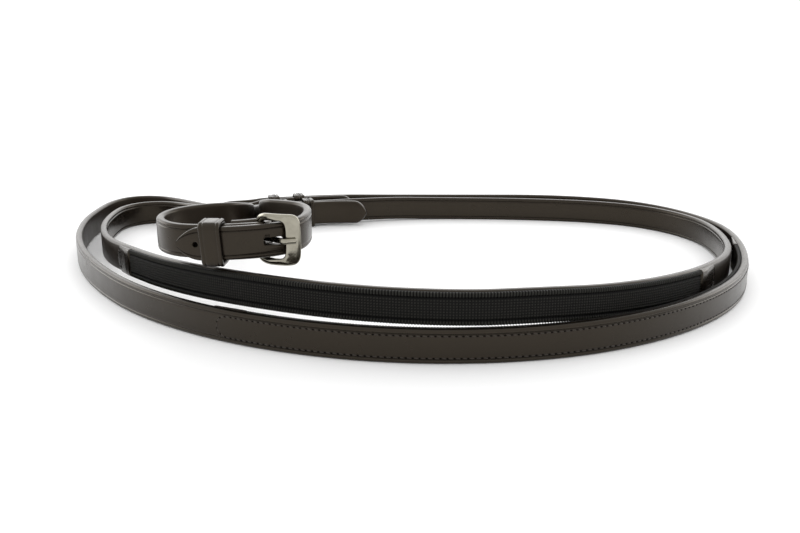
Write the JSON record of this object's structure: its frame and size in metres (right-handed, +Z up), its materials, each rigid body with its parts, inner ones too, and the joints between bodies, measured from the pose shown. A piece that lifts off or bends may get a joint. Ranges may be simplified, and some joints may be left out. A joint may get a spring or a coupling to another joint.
{
  "type": "pair of horse riding reins",
  "caption": "Pair of flat leather reins with ribbed lined hand parts, joined by a centre buckle and coiled on edge, with folded hook-stud ends for the bit rings.",
  "frame": {"origin": "under the middle of the coil's bounding box, on the plane the coil stands on", "axes": "+X along the coil's longest side, +Y towards the back where the bit ends lie, +Z up; the centre buckle is at the front left"},
  "size_m": [0.4196, 0.2988, 0.0577],
  "materials": {
    "leather": "dark brown-black bridle leather, satin, with a crease line along each edge",
    "webbing": "black rubberised webbing with fine ribs across it",
    "thread": "waxed dark thread",
    "nickel": "polished nickel-plated buckle",
    "stud_metal": "polished nickel-plated stud"
  },
  "bodies": {
    "reins": {"off_rein_strap": "leather", "near_rein_strap": "leather", "off_grip_webbing": "webbing", "off_grip_tab_buckle_end": "leather", "off_grip_tab_bit_end": "leather", "off_grip_stitching": "thread", "near_grip_webbing": "webbing", "near_grip_tab_buckle_end": "leather", "near_grip_tab_bit_end": "leather", "near_grip_stitching": "thread", "chape_stitching": "thread", "off_hook_stud": "stud_metal", "off_fixed_keeper": "leather", "near_hook_stud": "stud_metal", "near_fixed_keeper": "leather"},
    "buckle": {"buckle_frame": "nickel"},
    "tongue": {"buckle_tongue": "nickel"},
    "centre_keeper": {"buckle_keeper": "leather"},
    "off_keeper": {"off_running_keeper": "leather"},
    "near_keeper": {"near_running_keeper": "leather"}
  },
  "joints": [
    {"name": "buckle_pivot", "type": "hinge", "parent": "reins", "child": "buckle", "pos_m": [-0.06525, -0.09874, 0.0451], "axis": [0, 0, -1], "range_deg": [0, 6]},
    {"name": "tongue_pivot", "type": "hinge", "parent": "buckle", "child": "tongue", "pos_m": [-0.06525, -0.09874, 0.0451], "axis": [0, 0, -1], "range_deg": [0, 8]},
    {"name": "centre_keeper_slide", "type": "slide", "parent": "reins", "child": "centre_keeper", "axis": [0.9986, -0.0535, 0], "range_m": [-0.002, 0.0015]},
    {"name": "off_keeper_slide", "type": "slide", "parent": "reins", "child": "off_keeper", "axis": [0.9613, 0.2756, 0], "range_m": [-0.0015, 0.003]},
    {"name": "near_keeper_slide", "type": "slide", "parent": "reins", "child": "near_keeper", "axis": [0.9613, 0.2756, 0], "range_m": [-0.0015, 0.003]}
  ]
}
